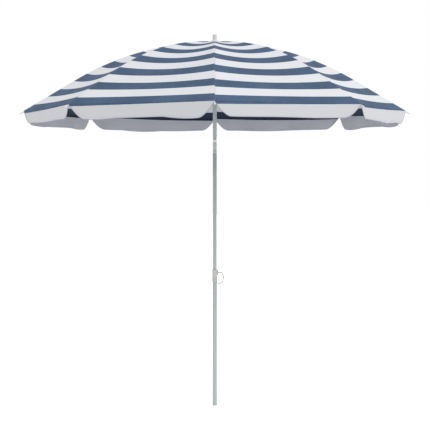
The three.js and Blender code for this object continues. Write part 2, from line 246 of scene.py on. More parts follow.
def woven_cloth(name, blue, white, valance):
    """Striped canvas: dyed bands across each gore, slubby yarn, a stitched seam over each rib."""
    look = Look(name, white, 0.9, Specular_IOR_Level=0.15)
    across, along = look.uv("cloth")
    edge, beside = look.uv("seam")
    flat = look.node("CombineXYZ", None, {0: across, 1: along}).outputs[0]
    wobble = (look.noise(flat, 55, 2) - 0.5) * (1.2 * MM)
    place = (RIM_LENGTH + HEM_BLUE - along + wobble) / BAND
    turn = place.math("FRACT")
    soft = 0.006
    stripe = look.ramp(turn, -soft, soft) * (1 - look.ramp(turn, BLUE_SHARE - soft, BLUE_SHARE + soft))
    counted = look.ramp(place, 0, 0.004) * (1 - look.ramp(place, BLUE_BANDS - 0.2, BLUE_BANDS - 0.19))
    mask = stripe * counted
    slub_weft = look.noise(look.stretched(flat, (30, 420, 1)), 1, 4, 0.62)
    slub_warp = look.noise(look.stretched(flat, (420, 30, 1)), 1, 4, 0.62)
    yarn = (slub_weft + slub_warp) * 0.5
    cloudy = look.noise(flat, 6, 2)
    depth = look.ramp(yarn, 0.36, 0.64) * 0.6 + look.ramp(cloudy, 0.3, 0.7) * 0.4
    dark = tuple(0.78 * channel for channel in blue)
    light = tuple(min(1, 1.24 * channel + 0.004) for channel in blue)
    dyed = look.mix(depth, dark, light)
    plain = look.mix(depth, tuple(0.955 * channel for channel in white), white)
    # Below the hem the white takes the valance colour, which is painted shade of the upright cloth.
    hanging = look.ramp(along, RIM_LENGTH + HEM_BLUE - 0.5 * MM, RIM_LENGTH + HEM_BLUE)
    plain = look.mix(hanging, plain, valance)
    base = look.mix(mask, plain, dyed)
    stitches = stitch_lines(look, beside, edge, along, across)
    look.set("Base Color", look.mix(stitches * 0.45, base, THREAD))
    look.set("Roughness", 0.82 + 0.1 * yarn)
    weave = look.math("SINE", across * (2 * math.pi / (1.1 * MM)))
    weave = weave * look.math("SINE", along * (2 * math.pi / (1.1 * MM)))
    fold = look.ramp(beside, 4.5 * MM, 6 * MM, 1, 0) + look.ramp(edge, 7 * MM, 8.5 * MM, 1, 0)
    height = weave * 0.1 + yarn * 0.5 + fold * 0.55 - stitches * 0.5
    look.bump(height, 0.5 * MM, 0.7)
    return look.material


def stitch_lines(look, beside, edge, along, across):
    """Mask of the stitches: a double row down each rib seam and one row inside each cut edge."""
    pitch = 3.2 * MM
    broken_along = look.ramp(abs((along / pitch).math("FRACT") - 0.5), 0.3, 0.36, 1, 0)
    broken_across = look.ramp(abs((across / pitch).math("FRACT") - 0.5), 0.3, 0.36, 1, 0)
    seam = look.ramp(abs(beside - 3.6 * MM), 0.3 * MM, 0.55 * MM, 1, 0) * broken_along
    hem = look.ramp(abs(edge - 6.5 * MM), 0.3 * MM, 0.55 * MM, 1, 0) * broken_across
    return seam.math("MAXIMUM", hem)


def binding_tape():
    """Woven tape folded over the lower edge of the valance."""
    look = Look("binding_tape", srgb(140, 138, 156), 0.85, Specular_IOR_Level=0.2)
    place = look.object_place()
    fleck = look.noise(place, 900, 3)
    look.set("Base Color", look.mix(fleck, srgb(120, 118, 136), srgb(164, 162, 178)))
    look.set("Roughness", 0.8 + 0.12 * fleck)
    look.bump(fleck, 0.3 * MM, 0.6)
    return look.material


def enamel(name, color, scratch):
    """Baked enamel on steel tube: slight orange peel, faint rubbed streaks along the tube."""
    look = Look(name, color, 0.36, 0.0, Coat_Weight=0.25, Coat_Roughness=0.2)
    place = look.object_place()
    streak = look.noise(look.stretched(place, (260, 260, 7)), 1, 4)
    cloudy = look.noise(place, 9, 3)
    tone = look.ramp(streak, 0.3, 0.75) * 0.5 + cloudy * 0.5
    worn = look.ramp(look.noise(look.stretched(place, (500, 500, 30)), 1, 5, 0.7), 0.68, 0.74)
    shade = look.mix(tone, tuple(0.93 * c for c in color), tuple(min(1, 1.05 * c) for c in color))
    look.set("Base Color", look.mix(worn * scratch, shade, srgb(150, 152, 150)))
    look.set("Roughness", 0.3 + 0.16 * tone + 0.1 * worn)
    look.bump(look.noise(place, 700, 2) + streak * 0.6, 0.15 * MM, 0.35)
    return look.material


def zinc_steel():
    """Zinc-plated steel with a fine drawn grain."""
    look = Look("zinc_plated_steel", srgb(188, 192, 194), 0.34, 1.0)
    place = look.object_place()
    grain = look.noise(look.stretched(place, (900, 900, 60)), 1, 4)
    bloom = look.noise(place, 60, 3)
    look.set("Base Color", look.mix(bloom, srgb(164, 168, 170), srgb(204, 207, 208)))
    look.set("Roughness", 0.26 + 0.2 * grain + 0.08 * bloom)
    look.bump(grain, 0.08 * MM, 0.4)
    return look.material


def moulded(name, color, roughness, grime):
    """Injection-moulded plastic: faint texture, slightly duller and darker in patches."""
    look = Look(name, color, roughness, 0.0, Specular_IOR_Level=0.45)
    place = look.object_place()
    peel = look.noise(place, 1100, 2)
    patch = look.noise(place, 75, 4)
    rubbed = look.ramp(patch, 0.42, 0.75)
    look.set("Base Color", look.mix(rubbed * grime, color, tuple(0.86 * c for c in color)))
    look.set("Roughness", roughness - 0.05 + 0.12 * patch)
    look.bump(peel, 0.1 * MM, 0.35)
    return look.material


CANVAS = woven_cloth("striped_canvas", NAVY, WHITE_CLOTH, VALANCE_PAINTED_SHADE)
# The underside copy of the canvas is painted shade: the same cloth in darkened colours.
CANVAS_UNDER_PAINTED_SHADE = woven_cloth("striped_canvas_underside_painted_shade", NAVY_UNDER_PAINTED_SHADE, WHITE_UNDER_PAINTED_SHADE, WHITE_UNDER_PAINTED_SHADE)
TAPE = binding_tape()
POLE_ENAMEL = enamel("pole_enamel", srgb(161, 169, 169), 0.35)
RIB_ENAMEL = enamel("rib_enamel", srgb(186, 190, 190), 0.2)
STEEL = zinc_steel()
GREY_PLASTIC = moulded("grey_plastic", srgb(179, 178, 175), 0.46, 0.5)
WHITE_PLASTIC = moulded("white_plastic", srgb(197, 197, 200), 0.38, 0.35)


# ---- mesh helpers --------------------------------------------------------------------------
def finished(name, mesh, materials, smooth_below):
    """Make a bmesh an object at the origin, smooth but for its sharp edges."""
    for face in mesh.faces:
        face.smooth = True
    limit = math.radians(smooth_below)
    for edge in mesh.edges:
        edge.smooth = len(edge.link_faces) == 2 and edge.calc_face_angle(0) < limit
    data = bpy.data.meshes.new(name)
    mesh.to_mesh(data)
    mesh.free()
    for material in materials:
        data.materials.append(material)
    made = bpy.data.objects.new(name, data)
    bpy.context.scene.collection.objects.link(made)
    return made


def piece(name, mesh, body, material):
    """Finish a closed bmesh as a piece that rides on a body."""
    bmesh.ops.recalc_face_normals(mesh, faces=mesh.faces)
    made = finished(name, mesh, [material], 40)
    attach(made, body)
    return made


def millimetres(*corners, above=0.0):
    """Corners from [x, z] in millimetres, with z counted from a height in metres."""
    return [(x * MM, above + z * MM) for x, z in corners]


def turned(corners, segments, bevel=0.0):
    """A solid turned about Z from [radius, z] corners, closed on itself or ending on the axis."""
    mesh = bmesh.new()
    spots = [mesh.verts.new((radius, 0, z)) for radius, z in corners]
    for first, second in zip(spots, spots[1:]):
        if first.co.x + second.co.x > 0:
            mesh.edges.new((first, second))
    if corners[0][0] > 0:
        mesh.edges.new((spots[-1], spots[0]))
    bmesh.ops.spin(mesh, geom=mesh.verts[:] + mesh.edges[:], cent=(0, 0, 0), axis=(0, 0, 1),
                   angle=2 * math.pi, steps=segments, use_merge=True)
    bmesh.ops.remove_doubles(mesh, verts=mesh.verts, dist=1e-7)
    bmesh.ops.recalc_face_normals(mesh, faces=mesh.faces)
    if bevel:
        soften(mesh, bevel)
    return mesh


def soften(mesh, width, above=35, segments=2):
    """Round the edges that are sharper than an angle."""
    sharp = [e for e in mesh.edges
             if len(e.link_faces) == 2 and e.calc_face_angle(0) > math.radians(above)]
    bmesh.ops.bevel(mesh, geom=sharp, offset=width, offset_type="OFFSET", affect="EDGES",
                    segments=segments, profile=0.5, material=-1, clamp_overlap=True)


def tube_along(route, radius, sides):
    """A round rod along points of space with capped ends."""
    mesh = bmesh.new()
    heading_before = Vector((0, 0, 1))
    turn = heading_before.to_track_quat("Z", "Y")
    last = None
    for index, spot in enumerate(route):
        heading = (route[min(index + 1, len(route) - 1)] - route[max(index - 1, 0)]).normalized()
        turn = heading_before.rotation_difference(heading) @ turn
        heading_before = heading
        ring = bmesh.ops.create_circle(mesh, segments=sides, radius=radius)["verts"]
        bmesh.ops.transform(mesh, matrix=Matrix.LocRotScale(spot, turn, None), verts=ring)
        edges = list(dict.fromkeys(edge for vert in ring for edge in vert.link_edges))
        if last:
            bmesh.ops.bridge_loops(mesh, edges=last + edges)
        last = edges
    open_edges = [edge for edge in mesh.edges if len(edge.link_faces) == 1]
    bmesh.ops.holes_fill(mesh, edges=open_edges, sides=0)
    bmesh.ops.recalc_face_normals(mesh, faces=mesh.faces)
    return mesh


def merge(target, other):
    """Put another bmesh's shape into this one."""
    data = bpy.data.meshes.new("part")
    other.to_mesh(data)
    other.free()
    target.from_mesh(data)
    bpy.data.meshes.remove(data)
    return target


def block(x, y, z, bevel):
    """A box from three (low, high) pairs, with rounded edges."""
    mesh = bmesh.new()
    bmesh.ops.create_cube(mesh, size=1)
    bmesh.ops.scale(mesh, vec=(x[1] - x[0], y[1] - y[0], z[1] - z[0]), verts=mesh.verts)
    bmesh.ops.translate(mesh, vec=(sum(x) / 2, sum(y) / 2, sum(z) / 2), verts=mesh.verts)
    soften(mesh, bevel)
    return mesh


def bar_across(x, z, radius, width, segments, bevel):
    """A round bar along Y, centred on x and z."""
    mesh = turned([(0, -width / 2), (radius, -width / 2), (radius, width / 2), (0, width / 2)],
                  segments, bevel)
    bmesh.ops.rotate(mesh, matrix=Matrix.Rotation(math.pi / 2, 3, "X"), verts=mesh.verts)
    bmesh.ops.translate(mesh, vec=(x, 0, z), verts=mesh.verts)
    return mesh


def turn_to(mesh, azimuth):
    """Turn a part made over +X to its place about the mast."""
    bmesh.ops.rotate(mesh, matrix=Matrix.Rotation(azimuth, 3, "Z"), verts=mesh.verts)
    return mesh


def rib_azimuth(number):
    return FRONT + 2 * HALF_GORE * (number - 1)


# ---- the line of a rib ---------------------------------------------------------------------
def rib_line(length, below=0.0):
    """Radius, height and slope at a length along the canopy from its apex."""
    slope = min(length, ARCH_LENGTH) / ARCH_R
    rest = max(length - ARCH_LENGTH, 0)
    radius = ARCH_R - below
    return (radius * math.sin(slope) + rest * math.cos(slope),
            APEX - ARCH_R + radius * math.cos(slope) - rest * math.sin(slope), slope)


def length_at(rho):
    """Length along the canopy at which the rod of a rib has a distance from the mast's axis."""
    bend = (ARCH_R - ROD_BELOW) * math.sin(SLOPE)
    if rho < bend:
        return ARCH_R * math.asin(rho / (ARCH_R - ROD_BELOW))
    return ARCH_LENGTH + (rho - bend) / math.cos(SLOPE)


# ---- canopy --------------------------------------------------------------------------------
def sag_at(length, gore):
    """How far the middle of a gore hangs below the line from rib to rib."""
    share = min(length / RIM_LENGTH, 1)
    hem = HEM_SAG + SLACK * math.sin(FRONT + HALF_GORE * (2 * gore - 1))
    return SAG * (share * (1 - share)) ** 1.5 + hem * share * share


def gore_beside(number, side):
    """Number of the gore on one side of a rib."""
    return (number if side > 0 else number - 1) % RIBS


def cloth_uv(number, side, reach, length):
    """Place on the flat cloth of a gore: distance from its middle line and from the apex.

    Each gore is cut a little askew to the stripes, so they step at every seam.
    """
    gore = gore_beside(number, side)
    offset = -reach if side > 0 else reach
    shift = 1.5 * MM * math.sin(2.4 * gore + 1)
    return offset + gore, length + SKEW * offset + shift


def cloth_point(length, across, number):
    """The cloth over +X: across runs from -1 to 1, from gore middle over the rib to gore middle."""
    sag = sag_at(length, gore_beside(number, across))
    rho, z, _ = rib_line(length)
    share = abs(across) / 2
    x = rho * (1 - share + share * math.cos(2 * HALF_GORE))
    y = rho * share * math.sin(2 * HALF_GORE) * (1 if across > 0 else -1)
    return Vector((x, y, z - sag * (1 - (1 - abs(across)) ** 2)))


def valance_depth(beside):
    """Depth of the valance at a distance from the rib: a slanted end with a rounded corner."""
    share = min(beside / VALANCE_END, 1)
    return VALANCE * (1 - (1 - share) ** 1.7)


def valance_point(across, share, number):
    """A point of the valance: share runs from 0 at the hem to 1 at the lower edge."""
    side = 1 if across > 0 else -1
    gore = gore_beside(number, side)
    beside = abs(across) * HALF_HEM
    hem = cloth_point(RIM_LENGTH - SEWING, across, number)
    outward = Vector((math.cos(HALF_GORE), side * math.sin(HALF_GORE), 0))
    # The cloth ripples along the hem, and each gore bellies in places of its own.
    reach_in = side * (HALF_HEM - beside)
    reach = reach_in + 0.9 * gore
    ripple = math.sin(reach * 23 + gore * 1.7) + 0.5 * math.sin(reach * 51 + gore * 2.9)
    depth = valance_depth(beside) * share
    drop = share * depth / VALANCE
    swell = (4 + 4.3 * math.sin(2.3 * gore + 1.8)) * max(0, math.sin(14 * reach_in + 4.6 + 2.1 * gore))
    hem += outward * (ripple * 2.2 * MM * drop - VALANCE_IN * depth / VALANCE - 0.4 * MM)
    hem.z -= depth + 0.2 * MM + (swell + 1.2 * math.sin(reach * 17 + gore)) * MM * drop
    return hem


def bent_grid(columns, rows, bend, paint):
    """A grid whose vertices are placed by one rule and whose corners are marked by another."""
    mesh = bmesh.new()
    bmesh.ops.create_grid(mesh, x_segments=columns, y_segments=rows, size=0.5)
    cloth = mesh.loops.layers.uv.new("cloth")
    seam = mesh.loops.layers.uv.new("seam")
    for face in mesh.faces:
        middle = face.calc_center_median()
        for loop in face.loops:
            spot = loop.vert.co
            loop[cloth].uv, loop[seam].uv = paint(spot.x + 0.5, spot.y + 0.5, middle.x)
    for vert in mesh.verts:
        vert.co = bend(vert.co.x + 0.5, vert.co.y + 0.5)
    return mesh


def thicken(mesh, thickness):
    """Give a sheet its thickness on the inner side; the new faces take the second material, the painted
    shade of the underside.
    """
    outer = set(mesh.faces)
    bmesh.ops.solidify(mesh, geom=mesh.faces[:], thickness=thickness)
    for face in mesh.faces:
        face.material_index = 0 if face in outer else 1
    return mesh


def canopy_sheet(number):
    """Cloth over one rib, out to the middle of the gore on each side."""
    def place(u, v):
        return HOLE + (RIM_LENGTH - HOLE) * v, 2 * u - 1

    def bend(u, v):
        length, across = place(u, v)
        return cloth_point(length, across, number)

    def paint(u, v, side):
        length, across = place(u, v)
        beside = abs(across) * rib_line(length)[0] * math.sin(HALF_GORE)
        reach = rib_line(length)[0] * math.sin(HALF_GORE) - beside
        return cloth_uv(number, side, reach, length), (0.05, beside)

    return bent_grid(44, 96, bend, paint)


def half_valance(number, side):
    """Valance from one rib to the middle of the gore beside it."""
    gap = 2 * MM

    def place(u):
        beside = gap + (HALF_HEM - gap) * u
        return side * beside / HALF_HEM

    def bend(u, v):
        return valance_point(place(u), v, number)

    def paint(u, v, _):
        across = place(u)
        beside = abs(across) * HALF_HEM
        depth = valance_depth(beside)
        return (cloth_uv(number, side, HALF_HEM - beside, RIM_LENGTH + depth * v),
                (depth * (1 - v), 0.05))

    return bent_grid(48, 10, bend, paint)


def outward_faces(mesh, away):
    """Turn a sheet's faces so that they look away from a point."""
    bmesh.ops.recalc_face_normals(mesh, faces=mesh.faces)
    mesh.faces.ensure_lookup_table()
    face = mesh.faces[len(mesh.faces) // 2]
    if (face.calc_center_median() - away).dot(face.normal) < 0:
        bmesh.ops.reverse_faces(mesh, faces=mesh.faces)
    return mesh


def binding(number, side):
    """Tape folded over the slanted end and the lower edge of a half valance."""
    gap, steps = 3 * MM, 60
    route = []
    for step in range(steps + 1):
        beside = gap + (HALF_HEM - gap) * (step / steps) ** 1.25
        route.append(valance_point(side * beside / HALF_HEM, 1, number))
    return tube_along(route, BINDING_R, 8)


def canopy_piece(number):
    """The cloth of one rib: its share of two gores, with the half valance on each side."""
    under_canopy = Vector((0.4, 0, 1.2))
    sheet = bmesh.new()
    for part in (canopy_sheet(number), half_valance(number, 1), half_valance(number, -1)):
        merge(sheet, thicken(outward_faces(part, under_canopy), CLOTH))
    turn_to(sheet, rib_azimuth(number))
    return finished(f"canopy_cloth_{number}", sheet, [CANVAS, CANVAS_UNDER_PAINTED_SHADE], 50)


def gather(made, number):
    """Give a piece a mesh of its own."""
    azimuth = rib_azimuth(number)
    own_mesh(made)


def build_canopy():
    for number in range(1, RIBS + 1):
        body = f"rib_body_{number}"
        made = canopy_piece(number)
        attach(made, body)
        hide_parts(f"canopy_panel_{number}")
        tapes = merge(binding(number, 1), binding(number, -1))
        tape = piece(f"valance_binding_{number}", turn_to(tapes, rib_azimuth(number)), body, TAPE)
        width = 2 * HALF_HEM
        area = HALF_HEM * RIM_LENGTH * math.cos(HALF_GORE / 2) + width * VALANCE
        gather(made, number)
        gather(tape, number)


# ---- mast ----------------------------------------------------------------------------------
POLE_TOP = high("lower_pole").z
MID_BOTTOM = low("mid_mast").z
MID_TOP = high("mid_mast").z
UPPER_BOTTOM = low("upper_mast").z
UPPER_TOP = high("upper_mast").z
COLLAR = (low("clamp_collar").z, high("clamp_collar").z)
PIN_Z = 635 * MM
NECK_R = 8.75 * MM  # tilt joint between the two tube ends
SPIGOT_R = 8 * MM  # parts pushed into the tubes
GROOVE = 0.8 * MM  # depth of a crimp
CRIMPS = (1.2057, 1.2187)  # round the middle mast, below the tilt joint
HEIGHT_STEP = 50 * MM  # between the holes that the locking pin enters
HEIGHT_HOLES = 6


def fit(name, mesh, body, material, slot, *nodes):
    """Finish a piece that stands for CAD nodes and hide them; the slot argument is not used."""
    made = piece(name, mesh, body, material)
    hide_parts(*nodes)
    return made


def tube_wall(radius, bottom, top, grooves=()):
    """Outline of a tube, with crimped grooves at some heights."""
    outside = [(radius, bottom)]
    for place in grooves:
        for rise, depth in ((-3.2, 0), (-2.2, 0.75), (-1.2, 1), (1.2, 1), (2.2, 0.75), (3.2, 0)):
            outside.append((radius - depth * GROOVE, place + rise * MM))
    outside.append((radius, top))
    return [(radius - WALL, bottom)] + outside + [(radius - WALL, top)]


def height_holes(mesh, places):
    """Round holes through the pin side of the middle mast."""
    radius = 2.9 * MM
    for place in places:
        for z in (place - radius, place + radius):
            everything = mesh.verts[:] + mesh.edges[:] + mesh.faces[:]
            bmesh.ops.bisect_plane(mesh, geom=everything, plane_co=(0, 0, z), plane_no=(0, 0, 1))
        window = []
        for face in mesh.faces:
            middle = face.calc_center_median()
            if middle.x > 0 and abs(middle.y) < radius and abs(middle.z - place) < radius:
                window.append(face)
        bmesh.ops.delete(mesh, geom=window, context="FACES")
        rim = [edge for edge in mesh.edges if len(edge.link_faces) == 1]
        through = bmesh.ops.bridge_loops(mesh, edges=rim)["edges"]
        corners = [edge for edge in through
                   if all(abs(vert.co.y) > 0.8 * radius for vert in edge.verts)]
        bmesh.ops.bevel(mesh, geom=corners, offset=1.6 * MM, offset_type="OFFSET", affect="EDGES",
                        segments=4, profile=0.5, material=-1, clamp_overlap=True)
    return mesh


def cut(mesh, spot, direction):
    """Take away what lies beyond a plane and close the cut."""
    bmesh.ops.bisect_plane(mesh, geom=mesh.verts[:] + mesh.edges[:] + mesh.faces[:],
                           plane_co=spot, plane_no=direction, clear_outer=True)
    rim = [edge for edge in mesh.edges if len(edge.link_faces) == 1]
    bmesh.ops.holes_fill(mesh, edges=rim, sides=0)
    return mesh


def along_x(mesh, start, height):
    """Lay a part turned about Z along +X, from a start at a height."""
    bmesh.ops.rotate(mesh, matrix=Matrix.Rotation(math.pi / 2, 3, "Y"), verts=mesh.verts)
    bmesh.ops.translate(mesh, vec=(start, 0, height), verts=mesh.verts)
    return mesh


def plate(corners, width, bevel, segments=2):
    """A plate across, along Y, from its [x, z] corners."""
    mesh = bmesh.new()
    outline = [mesh.verts.new((x, -width / 2, z)) for x, z in corners]
    face = mesh.faces.new(outline)
    grown = bmesh.ops.extrude_face_region(mesh, geom=[face])["geom"]
    moved = [part for part in grown if isinstance(part, bmesh.types.BMVert)]
    bmesh.ops.translate(mesh, vec=(0, width, 0), verts=moved)
    bmesh.ops.recalc_face_normals(mesh, faces=mesh.faces)
    soften(mesh, bevel, above=20, segments=segments)
    return mesh


def smooth_route(points, steps):
    """Points of space on a smooth curve through [x, z] points of the XZ plane."""
    spots = [Vector((x, 0, z)) for x, z in points]
    route = []
    for index in range(len(spots) - 1):
        a = spots[max(index - 1, 0)]
        b, c = spots[index], spots[index + 1]
        d = spots[min(index + 2, len(spots) - 1)]
        for step in range(steps):
            t = step / steps
            route.append(b + 0.5 * t * (c - a + t * (2 * a - 5 * b + 4 * c - d
                                                     + t * (3 * b - a - 3 * c + d))))
    return route + [spots[-1]]


def build_mast():
    foot = turned(millimetres((0, 0), (POLE_R / MM, 0), (POLE_R / MM, 3), (9.4, 3), (9.4, 25), (0, 25)),
                  48, 0.6 * MM)
    fit("foot_cap", foot, "base", GREY_PLASTIC, "grey_plastic", "foot_plug")
    pole = turned(tube_wall(POLE_R, 3.3 * MM, POLE_TOP), 48, 0.25 * MM)
    fit("pole_tube", pole, "base", POLE_ENAMEL, "pole_paint", "lower_pole")
    mid = turned(tube_wall(MAST_R, MID_BOTTOM, MID_TOP, CRIMPS), 40)
    holes = [PIN_Z - HEIGHT_STEP * step for step in range(HEIGHT_HOLES)]
    fit("mid_mast_tube", height_holes(mid, holes), "mast_mid", POLE_ENAMEL, "pole_paint", "mid_mast")
    upper = turned(tube_wall(MAST_R, UPPER_BOTTOM, UPPER_TOP), 48)
    fit("upper_mast_tube", upper, "mast_top", POLE_ENAMEL, "pole_paint", "upper_mast")


def build_collar():
    wide, narrow = 13.2, 12.7
    bottom, top, ledge = (value / MM for value in (*COLLAR, POLE_TOP))
    collar = turned(millimetres(
        (11.3, bottom), (wide, bottom), (wide, bottom + 4), (narrow, bottom + 5), (narrow, ledge - 4),
        (narrow - 0.4, ledge - 3), (narrow - 0.4, ledge - 1), (narrow, ledge), (narrow, top - 6),
        (wide, top - 5), (wide, top - 1), (wide - 0.8, top), (9.8, top), (9.8, ledge + 0.3),
        (11.3, ledge + 0.3)), 64, 0.3 * MM)
    lug = plate(millimetres((11.5, 13), (13, 13), (17.5, 5), (17.5, -5), (13, -13), (11.5, -13),
                            above=PIN_Z), 12 * MM, 1.6 * MM, 3)
    fit("clamp_collar_moulding", merge(collar, lug), "base", GREY_PLASTIC, "grey_plastic", "clamp_collar")
    shank = turned([(0, 0), (1.9 * MM, 0), (1.9 * MM, 15.1 * MM), (0, 15.1 * MM)], 24, 0.4 * MM)
    along_x(shank, MAST_R + 0.4 * MM, PIN_Z)
    fit("lock_pin_shank", shank, "lock_pin_body", STEEL, "plated_steel", "lock_pin")
    loop = millimetres((25, 0), (33, -2), (39, -11), (41, -24), (39.5, -37), (34, -47), (25, -52.5),
                       (18, -52.5), (14.8, -50), above=PIN_Z)
    ring = tube_along(smooth_route(loop, 8), 3 * MM, 20)
    boss = turned([(2.2 * MM, 0), (3.6 * MM, 0), (3.6 * MM, 5 * MM), (0, 5 * MM), (0, 2.7 * MM),
                   (2.2 * MM, 2.7 * MM)], 32, 0.5 * MM)
    fit("pull_ring_loop", merge(ring, along_x(boss, 22.6 * MM, PIN_Z)), "lock_pin_body",
        GREY_PLASTIC, "grey_plastic", "pull_ring")


def build_tilt_joint():
    end, seat, shoulder = MID_TOP - 28 * MM, MID_TOP + 0.3 * MM, TILT_Z - 9.4 * MM
    neck = turned([(0, end), (SPIGOT_R, end), (SPIGOT_R, seat), (NECK_R, seat), (NECK_R, shoulder),
                   (0, shoulder)], 48, 0.4 * MM)
    for side in (1, -1):
        bottom, top = TILT_Z - 10 * MM, TILT_Z + 8.5 * MM
        cheek = turned([(0, bottom), (NECK_R, bottom), (NECK_R, top), (0, top)], 48)
        cut(cheek, (0, side * 3.3 * MM, 0), (0, -side, 0))
        for degrees in range(15, 180, 15):
            outward = Vector((math.cos(math.radians(degrees)), 0, math.sin(math.radians(degrees))))
            cut(cheek, Vector((0, 0, TILT_Z)) + outward * 8.6 * MM, outward)
        soften(cheek, 0.5 * MM)
        merge(neck, cheek)
    fit("tilt_fork_casting", neck, "mast_mid", STEEL, "plated_steel", "tilt_fork")
    end, seat, shoulder = UPPER_BOTTOM + 39 * MM, UPPER_BOTTOM - 0.3 * MM, TILT_Z + 10.3 * MM
    tongue = turned([(0, shoulder), (NECK_R, shoulder), (NECK_R, seat), (SPIGOT_R, seat),
                     (SPIGOT_R, end), (0, end)], 48, 0.3 * MM)
    merge(tongue, bar_across(0, TILT_Z, 8.5 * MM, 6 * MM, 48, 0.5 * MM))
    merge(tongue, block((-8.5 * MM, 8.5 * MM), (-3 * MM, 3 * MM), (TILT_Z, TILT_Z + 12 * MM), 0.4 * MM))
    fit("tilt_tongue_casting", tongue, "mast_top", STEEL, "plated_steel", "tilt_tongue")
    rivet = turned(millimetres((0, -9), (1.6, -8.9), (2.6, -8.2), (2.8, -7.6), (2.2, -7.4), (2.2, 7.4),
                               (2.8, 7.6), (2.6, 8.2), (1.6, 8.9), (0, 9)), 32)
    bmesh.ops.rotate(rivet, matrix=Matrix.Rotation(math.pi / 2, 3, "X"), verts=rivet.verts)
    bmesh.ops.translate(rivet, vec=(0, 0, TILT_Z), verts=rivet.verts)
    fit("tilt_rivet_shank", rivet, "mast_mid", STEEL, "plated_steel", "tilt_rivet")


# ---- crown and runner ----------------------------------------------------------------------
NOTCH_SEGMENTS = 9 * RIBS  # three of every nine lie in a notch
NOTCH_HALF = 7.4  # half the angle of a notch, in degrees
FLANGE_R = 26 * MM
THROAT_R = 15.4 * MM  # where the notches end
CATCH_AZIMUTH = math.atan2(CATCH.y, CATCH.x)
EYE_R = 3.5 * MM
EYE_WIDTH = 4 * MM


def between_notches(face):
    """Whether a face of a notched ring lies on a tooth, clear of the eight notches."""
    middle = face.calc_center_median()
    turn = math.degrees(math.atan2(middle.y, middle.x)) % (360 / RIBS)
    return NOTCH_HALF < turn < 360 / RIBS - NOTCH_HALF


def notched(corners):
    """A turned part whose segments line up with the sides of the notches."""
    mesh = turned(corners, NOTCH_SEGMENTS)
    bmesh.ops.rotate(mesh, matrix=Matrix.Rotation(math.pi / NOTCH_SEGMENTS, 3, "Z"), verts=mesh.verts)
    return mesh


def grow(mesh, faces, matrix):
    """Extrude faces and take the new ones to their place by a matrix."""
    grown = bmesh.ops.extrude_face_region(mesh, geom=faces)["geom"]
    moved = [part for part in grown if isinstance(part, bmesh.types.BMVert)]
    bmesh.ops.transform(mesh, matrix=matrix, verts=moved)
    bmesh.ops.delete(mesh, geom=faces, context="FACES_ONLY")
    bmesh.ops.recalc_face_normals(mesh, faces=mesh.faces)
    return mesh


def build_crown():
    hub = notched(millimetres((9.8, 5.1), (15.8, 5.1), (26, 5.1), (26, 15), (24, 17), (4, 17), (4, 38),
                              (0, 38), (0, 8.3), (9.8, 8.3), above=PIVOT.z))
    below = []
    for face in hub.faces:
        middle = face.calc_center_median()
        if face.normal.z < -0.9 and middle.z < PIVOT.z + 5.5 * MM:
            if middle.xy.length < 15.7 * MM or between_notches(face):
                below.append(face)
    grow(hub, below, Matrix.Translation((0, 0, -17.1 * MM)))
    soften(hub, 0.6 * MM)
    fit("crown_hub_moulding", hub, "mast_top", WHITE_PLASTIC, "white_plastic", "crown_hub")
    finial = turned(millimetres(
        (4.3, 0), (19.6, 0), (20.4, 0.6), (20.3, 1.7), (18.6, 3.1), (14, 5.9), (11.4, 8.5), (10.2, 11.5),
        (9.8, 14.5), (9.8, 28), (9.4, 30.7), (8.2, 33.1), (6.2, 34.8), (3.4, 35.8), (0, 36), (0, 18.5),
        (4.3, 18.5), above=low("finial").z), 64)
    fit("finial_cap", finial, "mast_top", WHITE_PLASTIC, "white_plastic", "finial")
    fit("crown_ring_wire", ring_wire(PIVOT.z), "mast_top", STEEL, "plated_steel", "crown_wire")


def ring_wire(height):
    """Wire ring through the eyes of the ribs or struts."""
    radius, sides = 0.8 * MM, 12
    angles = [2 * math.pi * step / sides for step in range(sides)]
    return turned([(PIVOT.x + radius * math.cos(angle), height + radius * math.sin(angle))
                   for angle in angles], 64)


def build_runner():
    body = notched(millimetres((9.9, -62), (13.9, -62), (13.9, -59), (13.5, -58), (13.5, -18),
                               (14.4, -14), (15.4, -11), (15.4, 8.5), (14.5, 9), (9.9, 9),
                               above=RUNNER_Z))
    flange = []
    for face in body.faces:
        middle = face.calc_center_median()
        upright = abs(face.normal.z) < 0.2 and middle.z > RUNNER_Z - 11.5 * MM
        if upright and middle.xy.length > THROAT_R - 0.2 * MM and between_notches(face):
            flange.append(face)
    grow(body, flange, Matrix.Diagonal((FLANGE_R / THROAT_R, FLANGE_R / THROAT_R, 1, 1)))
    soften(body, 0.6 * MM)
    for side in (1, -1):
        y = sorted((side * 3.3 * MM, side * 4.3 * MM))
        lug = block((12.5 * MM, 18.8 * MM), y, (CATCH.z - 8 * MM, CATCH.z + 8 * MM), 0.35 * MM)
        merge(body, turn_to(lug, CATCH_AZIMUTH))
    fit("runner_moulding", body, "runner_body", WHITE_PLASTIC, "white_plastic", "runner")
    fit("runner_ring_wire", ring_wire(RUNNER_Z), "runner_body", STEEL, "plated_steel", "runner_wire")
    rocker = plate(millimetres((15.2, -6), (17.4, -15), (20.5, -21), (22, -19), (20.3, -3), (20.3, 18),
                               (10.2, 18), (10.2, 15), (16, 11.5), above=CATCH.z), 6 * MM, 0.5 * MM)
    fit("thumb_catch", turn_to(rocker, CATCH_AZIMUTH), "latch_body", GREY_PLASTIC, "grey_plastic",
        "runner_latch")
    pivot = bar_across(CATCH.xy.length, CATCH.z, 1.2 * MM, 8.4 * MM, 24, 0.2 * MM)
    fit("catch_pivot_pin", turn_to(pivot, CATCH_AZIMUTH), "runner_body", STEEL, "plated_steel",
        "latch_pivot")


def eye(x, z):
    """Flattened eye at the end of a rib or strut."""
    return bar_across(x, z, EYE_R, EYE_WIDTH, 32, 0.5 * MM)


